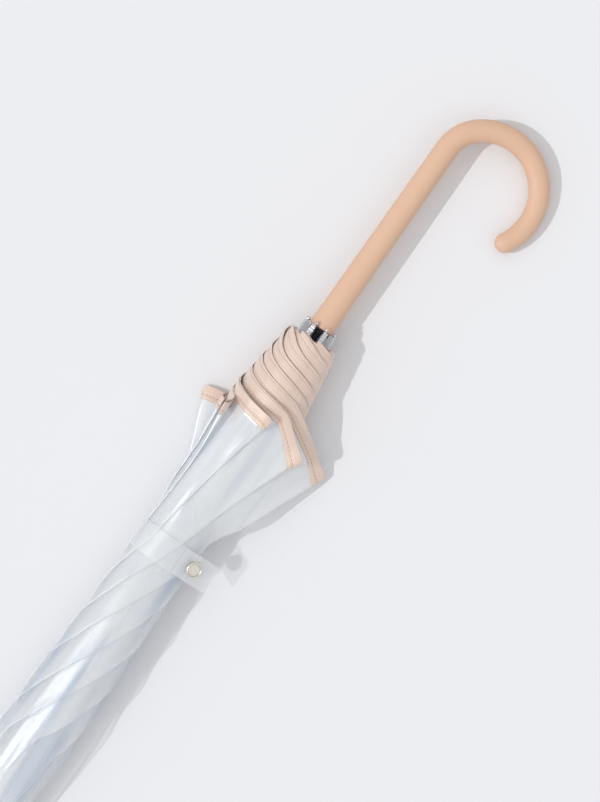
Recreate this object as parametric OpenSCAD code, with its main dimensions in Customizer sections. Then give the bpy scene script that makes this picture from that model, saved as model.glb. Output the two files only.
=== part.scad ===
// Stick umbrella with a crook handle and a clear film canopy, furled, strapped and lying on a flat surface.
// X runs along the shaft from the ferrule to the handle, Z is up, the origin is the ferrule's end on the shaft axis.

/* [Shaft and stand] */
// Height of the shaft axis above the surface that the umbrella lies on
axis_h = 20; // [18:0.5:24]
// Outside diameter of the shaft tube
shaft_d = 10; // [9:0.5:11]
// Wall of the shaft tube
shaft_wall = 0.8; // [0.6:0.1:1.2]
// Length by which the rib tips reach past the handle's lower end
tip_over = 3; // [0:0.5:4]
// Length of shaft that is glued into the handle
shaft_seat = 58; // [40:1:80]

/* [Handle] */
// Diameter of the grip at its lower end
grip_d = 18.9; // [17:0.1:22]
// Diameter of the grip where the hook begins
hook_d = 17; // [15:0.1:18]
// Diameter of the hook's rounded tip
tip_d = 14.8; // [13:0.1:17]
// Straight length of the grip
grip_len = 158.6; // [120:1:200]
// Centre line radius of the tighter bend into the hook
bend_r = 30; // [26:0.5:36]
// Angle turned by the bend into the hook
bend_turn = 48; // [40:1:60]
// Centre line radius of the hook
hook_r = 42.1; // [38:0.5:50]
// Angle from the straight grip to the hook's end
hook_turn = 211; // [190:1:225]

/* [Ferrule and crown] */
// Diameter of the ferrule's straight end
ferrule_d = 9; // [7:0.5:10]
// Length of the ferrule's straight end
ferrule_end = 30; // [20:1:34]
// Whole length of the ferrule
ferrule_len = 60; // [50:1:62]
// Diameter of the ferrule's socket
socket_d = 14; // [13:0.5:16]
// Diameter of the cap over the canopy's centre
cap_d = 27; // [26:0.5:32]
// Place of the rib hinges along the shaft, from the ferrule's upper end
crown_x = 15; // [14:0.5:20]
// Radius of the hinge wire's circle, at the crown and at the runner
hinge_r = 8; // [7.8:0.1:8.4]
// Diameter of the hinge wire
wire_d = 1.2; // [1:0.05:1.4]

/* [Ribs and stretchers] */
// Length of a rib from its hinge to its ball tip
rib_len = 598; // [560:1:600]
// Distance of a ball tip from the shaft axis when closed
tip_r = 11.5; // [11:0.1:12.5]
// Width of the rib channel
rib_w = 3.6; // [3.2:0.1:4]
// Depth of the rib channel
rib_depth = 3.5; // [3.2:0.1:4]
// Wall of the rib channel
rib_wall = 0.5; // [0.3:0.05:0.5]
// Share of a rib's length from its hinge to its rivet, which is also the length of a stretcher
link_share = 0.4264; // [0.41:0.001:0.4264]
// Width of a stretcher bar
bar_w = 1.6; // [1.2:0.1:1.7]
// Depth of a stretcher bar
bar_depth = 2.2; // [1.8:0.1:2.4]
// Diameter of the rivet between a rib and its stretcher
rivet_d = 1.2; // [1:0.05:1.4]
// Angle between a rib and the shaft when open
open_angle = 62; // [55:1:68]

/* [Runner and catches] */
// Outside diameter of the runner's sleeve
sleeve_d = 14.4; // [14:0.1:15]
// Diameter of the runner's slotted head
head_d = 19; // [18.6:0.1:19.4]
// Diameter of the rim at the runner's lower end
rim_d = 15.8; // [15:0.1:17]
// Number of grip flutes round the sleeve
flutes = 24; // [16:1:30]
// Height that a catch stands out of the shaft
catch_out = 1.9; // [1.5:0.1:2]
// Width of a catch
catch_w = 1.6; // [1.2:0.1:2]

/* [Canopy] */
// Thickness of a pleat of film
film_t = 0.3; // [0.2:0.05:0.35]
// Furled radius at the crown
top_r = 11.6; // [11.4:0.1:12]
// Place of the furled canopy's widest part, as a share of the way from the rib hinges to the strap
bulge_share = 0.585; // [0.5:0.005:0.65]
// Furled radius at the widest part
bulge_r = 27; // [26:0.5:30]
// Furled radius under the strap
waist_r = 23.5; // [21:0.5:24.5]
// Furled radius where the hem begins
cuff_r = 28; // [26:0.5:30]
// Width of the hem binding
hem_w = 8; // [6:0.5:9]
// Thickness of the hem binding
hem_t = 0.4; // [0.35:0.01:0.42]
// Distance along the shaft from the hem at a rib to the hem between ribs
hem_drop = 66; // [60:1:72]

/* [Strap] */
// Distance from the strap's middle to the handle's lower end
strap_back = 193.3; // [190:0.1:200]
// Width of the strap
strap_w = 21.6; // [18:0.1:24]
// Thickness of the strap
strap_t = 0.5; // [0.4:0.05:0.6]
// Length of the strap's free end from where it leaves the bundle
tab_len = 31; // [26:0.5:36]
// Distance along the free end to the snap
snap_at = 13.4; // [12:0.1:15]
// Diameter of the snap's cap
snap_d = 12; // [10:0.5:13]

/* [Hidden] */
$fn = 48;
rib_count = 8;
pitch = 360 / rib_count;
// Ribs stand half a pitch off the side, so that none is at the very top
rib_phase = pitch / 2;
// Clearance of a fixed seat, of a turning or sliding fit, and between pieces that only pass
seat_gap = 0.02;
run_gap = 0.08;
pass_gap = 0.45;
shaft_r = shaft_d / 2;
wire_r = wire_d / 2;
eye_hole_r = wire_r + 0.12;
eye_r = 1.6;
tongue_w = 1.8;
rivet_r = rivet_d / 2;
rivet_head = 0.3;
hinge_x = ferrule_len + crown_x;
closed_angle = asin((tip_r - hinge_r) / rib_len);
handle_x = hinge_x + rib_len - tip_over;
link_len = rib_len * link_share;
strap_x = handle_x - strap_back;
bulge_x = hinge_x + bulge_share * (strap_x - hinge_x);
// Rib channel depths measured outward from the line between hinge and tip
channel_low = -1;
channel_high = channel_low + rib_depth;
channel_start = 9;
tip_len = 12.5;
channel_end = rib_len - tip_len;
runner_x = hinge_x + 2 * link_len * cos(closed_angle);
runner_travel = 2 * link_len * (cos(closed_angle) - cos(open_angle));
sleeve_end = handle_x - 0.5;
flute_len = 21;
flute_end = 4;
// Depth of the shaft in the ferrule, and length of the ferrule's socket
ferrule_seat = 18;
socket_len = 20;
cap_x = ferrule_len;
cap_wall = 0.9;
collar_r = 10.5;
collar_x = hinge_x - 6;
collar_end = hinge_x + 5;
slot_side = 0.3;
groove_side = 0.1;
head_back = 6;
head_front = 7;
// Both catches stand midway between two ribs
catch_azimuth = rib_phase + 5.5 * pitch;
opening_azimuth = rib_phase + 6.5 * pitch;
catch_len = 9;
// The closing catch stands in the sleeve between the runner's head and its rim
rim_len = 2.5;
catch_share = 0.227;
catch_room = sleeve_end - rim_len - catch_len - runner_x - head_front;
catch_x = runner_x + head_front + catch_share * catch_room;
opening_x = sleeve_end - runner_travel + 0.6;
leaf_len = 46;
leaf_t = 0.6;
leaf_r = 2;
stop_w = 5;
stop_x = runner_x - head_back - runner_travel - stop_w - 0.5;
bend_x = handle_x + grip_len;
grip_ease = 1;
grip_sides = 32;
bend_steps = 8;
hook_steps = 26;
// Centre of the hook, set so that its arc follows on from the tighter bend
hook_x = bend_x - (hook_r - bend_r) * sin(bend_turn);
hook_reach = bend_r + (hook_r - bend_r) * cos(bend_turn);
// Tilt of the hook's plane that lets the hook touch the surface
hook_tilt = asin((axis_h - hook_radius(180)) / (hook_reach + hook_r));

// Furled canopy: stations of radius along the shaft, and of how far each pleat has wound round there
top_x = collar_x + 1;
hem_x = hinge_x + channel_end;
cuff_x = hem_x - hem_drop;
full_turn = 360;
bundle_stations = [[top_x, top_r], [bulge_x, bulge_r], [strap_x, waist_r], [cuff_x, cuff_r]];
column_step = 22.5;
rows = 7;
strap_room = film_t + pass_gap + strap_t;
// Length beside the strap that keeps the strap's height, and length over which the film settles after it
strap_side = 12;
strap_ease = 20;
// Distances before the cuff where a wound pleat and a loose one reach their full turn
wound_back = 41;
loose_back = 8;
// Loose pleats: azimuth where each leaves the bundle, extra turn of film, and furthest unrolling
loose_pleats = [[3, 112.5, 22.5, 0.86], [4, 112.5, 45, 0.79], [7, 315, 45, 1.45]];
unroll_start = strap_w / 2 + 7;
unroll_len = 34;
// Loose hems hang this much further from the handle
loose_drop = 15;
// Power that makes the wound layers crowd outward, except where they are pressed on the surface
crowding = 0.55;
// Strap: azimuth where the free end leaves, and radius of the free end's underside
tab_azimuth = 120;
band_in = film_t + pass_gap;
tab_r = waist_r + band_in + strap_t + 0.3;
snap_cap_h = 2.6;
socket_h = 1.6;
socket_r = 4.6;
post_r = 1.5;
stud_r = 1.7;
shank_r = 3;

function smooth(t) = let (c = min(1, max(0, t))) c * c * (3 - 2 * c);

// Smooth curve through stations, each holding a place and a value
function through(stations, x, i = 0) =
  x <= stations[0][0] ? stations[0][1] :
  i >= len(stations) - 1 ? stations[len(stations) - 1][1] :
  x > stations[i + 1][0] ? through(stations, x, i + 1) :
  let (a = stations[i], b = stations[i + 1], t = (x - a[0]) / (b[0] - a[0]))
    a[1] + (b[1] - a[1]) * (1 - cos(180 * t)) / 2;

// Height that the film may fill below the axis, less the strap where that passes under
function lie_h(x) = axis_h - strap_room * (1 - smooth((abs(x - strap_x) - strap_w / 2 - strap_side) / strap_ease));
// Radius of the furled bundle, flat where it lies
function bundle_r(x, b) =
  let (r = through(bundle_stations, x), s = -sin(b))
    s < 0.3 ? r : min(r, (lie_h(x) - film_t) / s);
// Radius just outside the ribs
function rib_back(x) =
  hinge_r + (x - hinge_x) * tan(closed_angle) + channel_high + pass_gap;

function loose(k) = [for (p = loose_pleats) if (p[0] == k) p];
function rib_azimuth(k) = k * pitch + rib_phase;
function extra_turn(k) = len(loose(k)) == 0 ? 0 : loose(k)[0][2];
// How far a pleat is unrolled at x: 0 follows the bundle, 1 leaves it straight, more turns outward
function unrolled(k, x) =
  len(loose(k)) == 0 ? 0 : smooth((x - strap_x - unroll_start) / unroll_len) * loose(k)[0][3];
// Angle that a pleat has wound from its rib to its fold, along the shaft
function base_turns() = [[top_x, 45], [bulge_x, 115], [strap_x, 305], [cuff_x - wound_back, full_turn]];
function fold_turns(k) =
  extra_turn(k) == 0 ? base_turns() :
  [base_turns()[0], base_turns()[1], base_turns()[2], [cuff_x - loose_back, full_turn + extra_turn(k)]];
function fold_x(k, f) = lookup(f, [for (s = fold_turns(k)) [s[1], s[0]]]);
function hem_edge_x(f) = hem_x - hem_drop * min(f, full_turn) / full_turn - loose_drop * smooth((f - full_turn) / 45);
// Share of the way from the ribs to the bundle's outside for a share of the wound angle at azimuth b
function layer(share, b) = pow(min(1, share), 1 - (1 - crowding) * smooth((sin(b) + 0.75) / 0.6));

// A point of pleat k, wound f degrees from its rib, at x along the shaft and lifted off the film by up
function pleat_point(k, f, x, up) =
  let (leave = len(loose(k)) == 0 ? 1000 : loose(k)[0][1] + 360 - rib_azimuth(k),
       free = unrolled(k, x),
       wound = free > 0 ? min(f, leave) : f,
       b = rib_azimuth(k) + wound,
       share = layer(wound / lookup(x, base_turns()), b),
       r = rib_back(x) + (bundle_r(x, b) - rib_back(x)) * share + up,
       curl = abs(1 - free) < 0.001 ? 0.001 : 1 - free,
       bend = r / curl,
       turn = (f - wound) * curl,
       out = bend * sin(turn),
       inward = bend * (1 - cos(turn)))
    [x, r * cos(b) - out * sin(b) - inward * cos(b), r * sin(b) + out * cos(b) - inward * sin(b)];

// Closed sheet over a grid of points: lower skin first, then upper skin
module sheet(lower, upper) {
  m = len(lower);
  n = len(lower[0]);
  count = m * n;
  at = function (i, j, side) side * count + i * n + j;
  points = concat([for (row = lower) each row], [for (row = upper) each row]);
  skins = [for (i = [0:m - 2]) for (j = [0:n - 2]) each [
    [at(i, j, 0), at(i + 1, j, 0), at(i + 1, j + 1, 0)], [at(i, j, 0), at(i + 1, j + 1, 0), at(i, j + 1, 0)],
    [at(i, j, 1), at(i + 1, j + 1, 1), at(i + 1, j, 1)], [at(i, j, 1), at(i, j + 1, 1), at(i + 1, j + 1, 1)]]];
  ends = [for (i = [0:m - 2]) each [
    [at(i, 0, 0), at(i, 0, 1), at(i + 1, 0, 1)], [at(i, 0, 0), at(i + 1, 0, 1), at(i + 1, 0, 0)],
    [at(i, n - 1, 0), at(i + 1, n - 1, 1), at(i, n - 1, 1)],
    [at(i, n - 1, 0), at(i + 1, n - 1, 0), at(i + 1, n - 1, 1)]]];
  sides = [for (j = [0:n - 2]) each [
    [at(0, j, 0), at(0, j + 1, 1), at(0, j, 1)], [at(0, j, 0), at(0, j + 1, 0), at(0, j + 1, 1)],
    [at(m - 1, j, 0), at(m - 1, j, 1), at(m - 1, j + 1, 1)],
    [at(m - 1, j, 0), at(m - 1, j + 1, 1), at(m - 1, j + 1, 0)]]];
  polyhedron(points, concat(skins, ends, sides), convexity = 10);
}

function columns(k) = [for (f = [0:column_step:full_turn + extra_turn(k)]) f];
// Rows of a pleat between its fold and its hem, each point at the lift given
function pleat_rows(k, count, up) =
  [for (i = [0:count]) [for (f = columns(k))
    let (low = fold_x(k, f), high = hem_edge_x(f) - hem_w,
         x = low + (high - low) * i / count)
      pleat_point(k, f, x, up)]];
function hem_rows(k, up) =
  [for (i = [0:1]) [for (f = columns(k)) pleat_point(k, f, hem_edge_x(f) - hem_w * (1 - i), up)]];

// Turns a piece to an azimuth round the shaft: its Y then points outward
module around(azimuth) rotate([azimuth, 0, 0]) children();
// A solid of revolution about the shaft axis, from a profile of places along X and radii
module turned(profile) rotate([90, 0, 90]) rotate_extrude() polygon([for (p = profile) [p[1], p[0]]]);
// A round bar along X from one place to another
module bar_x(from, to, r) translate([from, 0, 0]) rotate([0, 90, 0]) cylinder(h = to - from, r = r);
// A wire ring about the shaft
module wire_ring(x) translate([x, 0, 0]) rotate([0, 90, 0])
  rotate_extrude() translate([hinge_r, 0]) circle(r = wire_r, $fn = 24);
// A pin along the local tangent
module cross_pin(x, y, r, len) translate([x, y, -len / 2]) cylinder(h = len, r = r, $fn = 24);

// Sections of the grip from its lower end round to the hook's tip: place, reach from the shaft axis, heading, radius
function grip_sections() = concat(
  [[handle_x, 0, 0, grip_d / 2 - grip_ease], [handle_x + grip_ease, 0, 0, grip_d / 2]],
  [for (i = [1:4]) [handle_x + grip_len * i / 4, 0, 0, grip_d / 2 + (hook_d - grip_d) / 2 * i / 4]],
  [for (i = [1:bend_steps]) let (a = bend_turn * i / bend_steps)
    [bend_x + bend_r * sin(a), bend_r * (1 - cos(a)), a, hook_d / 2]],
  [for (i = [1:hook_steps]) let (a = bend_turn + (hook_turn - bend_turn) * i / hook_steps)
    [hook_x + hook_r * sin(a), hook_reach - hook_r * cos(a), a, hook_radius(a)]],
  [for (e = [22.5:22.5:67.5]) let (tip = [hook_x + hook_r * sin(hook_turn), hook_reach - hook_r * cos(hook_turn)])
    [tip[0] + tip_d / 2 * sin(e) * cos(hook_turn), tip[1] + tip_d / 2 * sin(e) * sin(hook_turn), hook_turn,
     tip_d / 2 * cos(e)]]);
function hook_radius(a) = hook_d / 2 + (tip_d - hook_d) / 2 * (a - bend_turn) / (hook_turn - bend_turn);

// A closed tube through round sections that all lie across one plane
module swept(sections, sides) {
  count = len(sections);
  points = [for (s = sections) for (j = [0:sides - 1]) let (a = 360 * j / sides)
    [s[0] - s[3] * cos(a) * sin(s[2]), s[1] + s[3] * cos(a) * cos(s[2]), s[3] * sin(a)]];
  walls = [for (i = [0:count - 2]) for (j = [0:sides - 1])
    let (n = (j + 1) % sides, a = i * sides + j, b = i * sides + n, c = a + sides, d = b + sides)
      each [[a, b, d], [a, d, c]]];
  low_end = [for (j = [1:sides - 2]) [0, j + 1, j]];
  high_end = [for (j = [1:sides - 2]) (count - 1) * sides * [1, 1, 1] + [0, j, j + 1]];
  polyhedron(points, concat(walls, low_end, high_end), convexity = 10);
}

module handle_grip() color("burlywood") difference() {
  around(180 + hook_tilt) swept(grip_sections(), grip_sides);
  bar_x(handle_x - 1, handle_x + shaft_seat, shaft_r + seat_gap);
}

module shaft_tube() color("whitesmoke") difference() {
  bar_x(ferrule_len - ferrule_seat, handle_x + shaft_seat, shaft_r);
  bar_x(0, handle_x + shaft_seat + 1, shaft_r - shaft_wall);
  around(catch_azimuth) catch_slot(catch_x);
  around(opening_azimuth) catch_slot(opening_x);
  crown_pin_hole();
}
module catch_slot(x) translate([x - 0.5, shaft_r - shaft_wall - 1, -catch_w / 2 - 0.15])
  cube([catch_len + 1, shaft_wall + 2, catch_w + 0.3]);

module ferrule() color("whitesmoke") difference() {
  turned([[0, 0], [0, ferrule_d / 2], [ferrule_end, ferrule_d / 2],
          [ferrule_len - socket_len, socket_d / 2], [ferrule_len, socket_d / 2], [ferrule_len, 0]]);
  bar_x(ferrule_len - ferrule_seat, ferrule_len + 1, shaft_r + seat_gap);
}

module top_cap() color("whitesmoke") difference() {
  turned([[cap_x, 0], [cap_x, socket_d / 2], [cap_x + 3, cap_d / 2 - 1.5], [cap_x + 6, cap_d / 2],
          [top_x + 3, cap_d / 2], [top_x + 3, 0]]);
  bar_x(cap_x - 1, top_x + 4, shaft_r + seat_gap);
  bar_x(collar_x, top_x + 4, cap_d / 2 - cap_wall);
}

module crown_notch() color("dimgray") difference() {
  bar_x(collar_x, collar_end, collar_r);
  bar_x(collar_x - 1, collar_end + 1, shaft_r + seat_gap);
  ring_groove(collar_x - 1, hinge_x + wire_r + groove_side);
  for (k = [1:rib_count]) around(rib_azimuth(k))
    hinge_slot(hinge_x - eye_r - slot_side, collar_end + 1, tongue_w, collar_r);
  crown_pin_hole();
}
// Groove that a hinge wire is laid into from one end
module ring_groove(from, to) difference() {
  bar_x(from, to, hinge_r + wire_r + groove_side);
  bar_x(from - 1, to + 1, hinge_r - wire_r - groove_side);
}
module hinge_slot(from, to, w, r) translate([from, hinge_r - eye_r - slot_side, -w / 2 - slot_side])
  cube([to - from, r, w + 2 * slot_side]);
module crown_pin_hole() around(rib_phase + pitch / 2) crown_pin_bar(seat_gap, collar_r);
module crown_pin_bar(gap, reach) translate([hinge_x + 2.8, 0, 0]) rotate([90, 0, 0])
  cylinder(h = 2 * reach, r = 0.75 + gap, center = true, $fn = 24);
module crown_ring() color("silver") wire_ring(hinge_x);
module crown_pin() color("silver") around(rib_phase + pitch / 2) crown_pin_bar(0, collar_r - 0.6);

module runner() color("black") difference() {
  union() {
    bar_x(runner_x - head_back, runner_x + head_front, head_d / 2);
    bar_x(runner_x, sleeve_end, sleeve_d / 2);
    bar_x(sleeve_end - rim_len, sleeve_end, rim_d / 2);
  }
  bar_x(runner_x - head_back - 1, sleeve_end + 1, shaft_r + run_gap);
  ring_groove(runner_x - wire_r - groove_side, runner_x + head_front + 1);
  for (k = [1:rib_count]) around(rib_azimuth(k))
    hinge_slot(runner_x - head_back - 1, runner_x + eye_r + slot_side, bar_w, head_d);
  for (i = [0:flutes - 1]) around((i + 0.5) * 360 / flutes) translate([0, sleeve_d / 2 + 0.2, 0])
    bar_x(sleeve_end - flute_end - flute_len, sleeve_end - flute_end, 0.6, $fn = 16);
  around(catch_azimuth) translate([catch_x - 1, 0, -catch_w / 2 - 0.4])
    cube([catch_len + 2, head_d, catch_w + 0.8]);
}
module runner_ring() color("silver") wire_ring(runner_x);

module runner_stop() color("silver") difference() {
  bar_x(stop_x, stop_x + stop_w, shaft_r + 1.4);
  bar_x(stop_x - 1, stop_x + stop_w + 1, shaft_r + seat_gap);
}

// Leaf spring inside the shaft with a nib that stands out through a slot
module catch_spring(x, ramp_to_handle) color("silver") {
  translate([x, 0, -catch_w / 2]) linear_extrude(catch_w)
    polygon(ramp_to_handle ?
      [[0, leaf_r], [0, shaft_r + catch_out], [2, shaft_r + catch_out], [catch_len, leaf_r + leaf_t],
       [catch_len, leaf_r]] :
      [[0, leaf_r], [0, leaf_r + leaf_t], [catch_len - 2, shaft_r + catch_out],
       [catch_len, shaft_r + catch_out], [catch_len, leaf_r]]);
  translate([x - leaf_len, leaf_r, -catch_w / 2]) cube([leaf_len, leaf_t, catch_w]);
  translate([x - leaf_len, leaf_r, -catch_w / 2])
    cube([leaf_t, shaft_r - shaft_wall - leaf_r - 0.2, catch_w]);
}
module closing_spring() around(catch_azimuth) catch_spring(catch_x, false);
module opening_spring() around(opening_azimuth) catch_spring(opening_x, true);

// A rib's own frame: origin at its hinge, X along the rib, Y outward
module on_rib(k) around(rib_azimuth(k)) translate([hinge_x, hinge_r, 0]) rotate([0, 0, closed_angle]) children();

module rib(k) color("whitesmoke") on_rib(k) {
  difference() {
    union() {
      translate([channel_start, channel_low, -rib_w / 2])
        cube([channel_end - channel_start, rib_depth, rib_w]);
      translate([0, -eye_r, -tongue_w / 2]) cube([channel_start + 1, 2 * eye_r, tongue_w]);
      cross_pin(0, 0, eye_r, tongue_w);
    }
    translate([channel_start + 4, channel_low - 1, -rib_w / 2 + rib_wall])
      cube([channel_end, rib_depth + 1 - rib_wall, rib_w - 2 * rib_wall]);
    cross_pin(0, 0, eye_hole_r, rib_w + 1);
    cross_pin(link_len, 0, rivet_r + seat_gap, rib_w + 1);
  }
  cross_pin(link_len, 0, rivet_r, rib_w + 2 * rivet_head);
}

module rib_tip(k) color("gainsboro") on_rib(k) {
  sleeve_len = 9;
  ball_r = 1.5;
  middle = (channel_low + channel_high) / 2;
  plug = 0.05;
  difference() {
    union() {
      translate([channel_end, channel_low, -rib_w / 2]) cube([sleeve_len, rib_depth, rib_w]);
      translate([channel_end - 5, channel_low, -rib_w / 2 + rib_wall + plug])
        cube([6, rib_depth - rib_wall - plug, rib_w - 2 * rib_wall - 2 * plug]);
      translate([0, middle, 0]) bar_x(channel_end + sleeve_len - 1, rib_len - ball_r / 2, 0.8);
      translate([rib_len - ball_r, middle, 0]) sphere(r = ball_r);
    }
    for (i = [1:3]) translate([channel_end + i * sleeve_len / 4, channel_high + 0.35, -rib_w])
      cylinder(h = 2 * rib_w, r = 0.6, $fn = 24);
    translate([rib_len - ball_r, middle, 0]) rotate([90, 0, 0])
      cylinder(h = 4 * ball_r, r = 0.5, center = true, $fn = 24);
  }
}

module stretcher(k) color("whitesmoke") on_rib(k) translate([link_len, 0, 0]) rotate([0, 0, -2 * closed_angle])
  difference() {
    union() {
      translate([0, -bar_depth / 2, -bar_w / 2]) cube([link_len, bar_depth, bar_w]);
      cross_pin(0, 0, eye_r, bar_w);
      cross_pin(link_len, 0, eye_r, bar_w);
    }
    cross_pin(0, 0, rivet_r + run_gap, 2 * bar_w);
    cross_pin(link_len, 0, eye_hole_r, 2 * bar_w);
  }

module canopy_panel(k) color("lightsteelblue")
  sheet(pleat_rows(k, rows, 0), pleat_rows(k, rows, film_t));
module hem(k) color("tan") sheet(hem_rows(k, -0.05), hem_rows(k, hem_t - 0.05));

module strap_band() color("lightblue") difference() {
  translate([strap_x - strap_w / 2, 0, 0]) rotate([90, 0, 90]) linear_extrude(strap_w) difference() {
    polygon(band_outline(band_in + strap_t));
    polygon(band_outline(band_in));
  }
  on_snap() stud_shank(seat_gap);
}
function band_outline(up) = [for (b = [0:7.5:359]) (bundle_r(strap_x, b) + up) * [cos(b), sin(b)]];

// The free end's frame: Y outward, Z along the free end from where it leaves the bundle
module on_tab() around(tab_azimuth) translate([strap_x, tab_r, 0]) children();
// The snap's frame: Z outward from the free end's underside
module on_snap() on_tab() translate([0, 0, snap_at]) rotate([-90, 0, 0]) children();

module strap_tab() color("lightblue") difference() {
  on_tab() translate([-strap_w / 2, 0, 0]) cube([strap_w, strap_t, tab_len]);
  on_snap() cylinder(h = 4, r = post_r + seat_gap, center = true, $fn = 24);
}
module snap_cap() color("silver") on_snap() translate([0, 0, strap_t]) {
  rotate_extrude() polygon([[0, 0], [snap_d / 2 - 0.4, 0], [snap_d / 2, 0.4], [snap_d / 2, snap_cap_h - 0.7],
    [snap_d / 2 - 0.6, snap_cap_h], [snap_d / 2 - 1.4, snap_cap_h], [snap_d / 2 - 1.8, snap_cap_h - 0.4],
    [0, snap_cap_h - 0.4]]);
  translate([0, 0, -strap_t - socket_h / 3]) cylinder(h = strap_t + 1, r = post_r, $fn = 24);
}
module snap_socket() color("silver") on_snap() difference() {
  translate([0, 0, -socket_h]) cylinder(h = socket_h, r = socket_r);
  translate([0, 0, -socket_h - 1]) cylinder(h = socket_h + 2, r = stud_r + run_gap, $fn = 24);
}
// Part of the stud that passes through the band
module stud_shank(gap) translate([0, 0, -tab_r + snap_floor()])
  cylinder(h = tab_r - snap_floor() - socket_h - 0.2, r = shank_r + gap, $fn = 24);
// Distance from the axis to the shank's inner end, clear of the film
function snap_floor() = sqrt(pow(waist_r + film_t, 2) - pow(snap_at - shank_r, 2)) + 0.3;
module snap_stud() color("silver") on_snap() {
  stud_shank(0);
  translate([0, 0, -socket_h - 0.4]) cylinder(h = socket_h * 2 / 3 + 0.3, r = stud_r, $fn = 24);
}

handle_grip();
shaft_tube();
ferrule();
top_cap();
crown_notch();
crown_ring();
crown_pin();
runner();
runner_ring();
runner_stop();
closing_spring();
opening_spring();
strap_band();
strap_tab();
snap_cap();
snap_socket();
snap_stud();
for (k = [1:rib_count]) {
  rib(k);
  rib_tip(k);
  stretcher(k);
  canopy_panel(k);
  hem(k);
}
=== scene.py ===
"""Stick umbrella with a crook handle and a clear canopy, furled, strapped and lying on a pale floor.

Lengths inside the shape classes are millimetres in the row frame: X runs along the shaft from the ferrule to
the handle, Z is up, and azimuths turn from +Y through +Z. Meshes are written in metres.
"""
from __future__ import annotations

import logging
import math
from dataclasses import dataclass, field
from enum import Enum
from typing import ClassVar

import bpy
import numpy as np
from mathutils import Matrix, Vector

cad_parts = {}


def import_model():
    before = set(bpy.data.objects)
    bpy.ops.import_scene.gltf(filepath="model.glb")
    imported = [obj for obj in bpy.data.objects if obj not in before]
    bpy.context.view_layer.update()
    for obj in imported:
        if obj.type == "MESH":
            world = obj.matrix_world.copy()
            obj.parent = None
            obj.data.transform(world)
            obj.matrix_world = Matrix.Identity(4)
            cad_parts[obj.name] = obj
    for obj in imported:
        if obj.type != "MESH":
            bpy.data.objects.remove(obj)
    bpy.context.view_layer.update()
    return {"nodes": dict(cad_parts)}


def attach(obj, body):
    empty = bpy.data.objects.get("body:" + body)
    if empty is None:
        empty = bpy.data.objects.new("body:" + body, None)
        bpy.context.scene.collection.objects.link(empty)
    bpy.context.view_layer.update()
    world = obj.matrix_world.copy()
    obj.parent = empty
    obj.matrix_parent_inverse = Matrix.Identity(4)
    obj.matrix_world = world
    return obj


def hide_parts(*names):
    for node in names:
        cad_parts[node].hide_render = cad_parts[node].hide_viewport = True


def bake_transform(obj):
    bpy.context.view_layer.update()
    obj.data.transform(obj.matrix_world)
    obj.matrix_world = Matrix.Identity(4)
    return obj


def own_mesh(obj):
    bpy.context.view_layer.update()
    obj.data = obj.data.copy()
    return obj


LOG = logging.getLogger("umbrella")
MM = 0.001
RIB_COUNT = 8
PITCH = 360.0 / RIB_COUNT
RIB_PHASE = PITCH / 2.0
# Height of the shaft's axis above the floor, and the place of the grip's foot, in millimetres
AXIS_H = 20.0
FOOT_X = 670.0

Colour = tuple[float, float, float]
Pair = tuple[float, float]


class Slot(Enum):
    """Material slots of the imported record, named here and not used."""

    GRIP = "grip"
    FILM = "film"
    BINDING = "binding"
    SNAP = "snap"


def smooth(t: np.ndarray | float) -> np.ndarray:
    """Returns a smooth step from 0 to 1 over t from 0 to 1."""
    c = np.clip(t, 0.0, 1.0)
    return c * c * (3.0 - 2.0 * c)


def sind(a: np.ndarray | float) -> np.ndarray:
    """Returns the sine of an angle in degrees."""
    return np.sin(np.radians(a))


def cosd(a: np.ndarray | float) -> np.ndarray:
    """Returns the cosine of an angle in degrees."""
    return np.cos(np.radians(a))


def radial(azimuth: float) -> np.ndarray:
    """Returns the unit vector that points outward at an azimuth."""
    return np.array([0.0, cosd(azimuth), sind(azimuth)])


def tangent(azimuth: float) -> np.ndarray:
    """Returns the unit vector round the shaft at an azimuth."""
    return np.array([0.0, -sind(azimuth), cosd(azimuth)])


def rib_azimuth(k: int) -> float:
    """Returns the azimuth of rib k, in degrees."""
    return k * PITCH + RIB_PHASE


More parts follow.
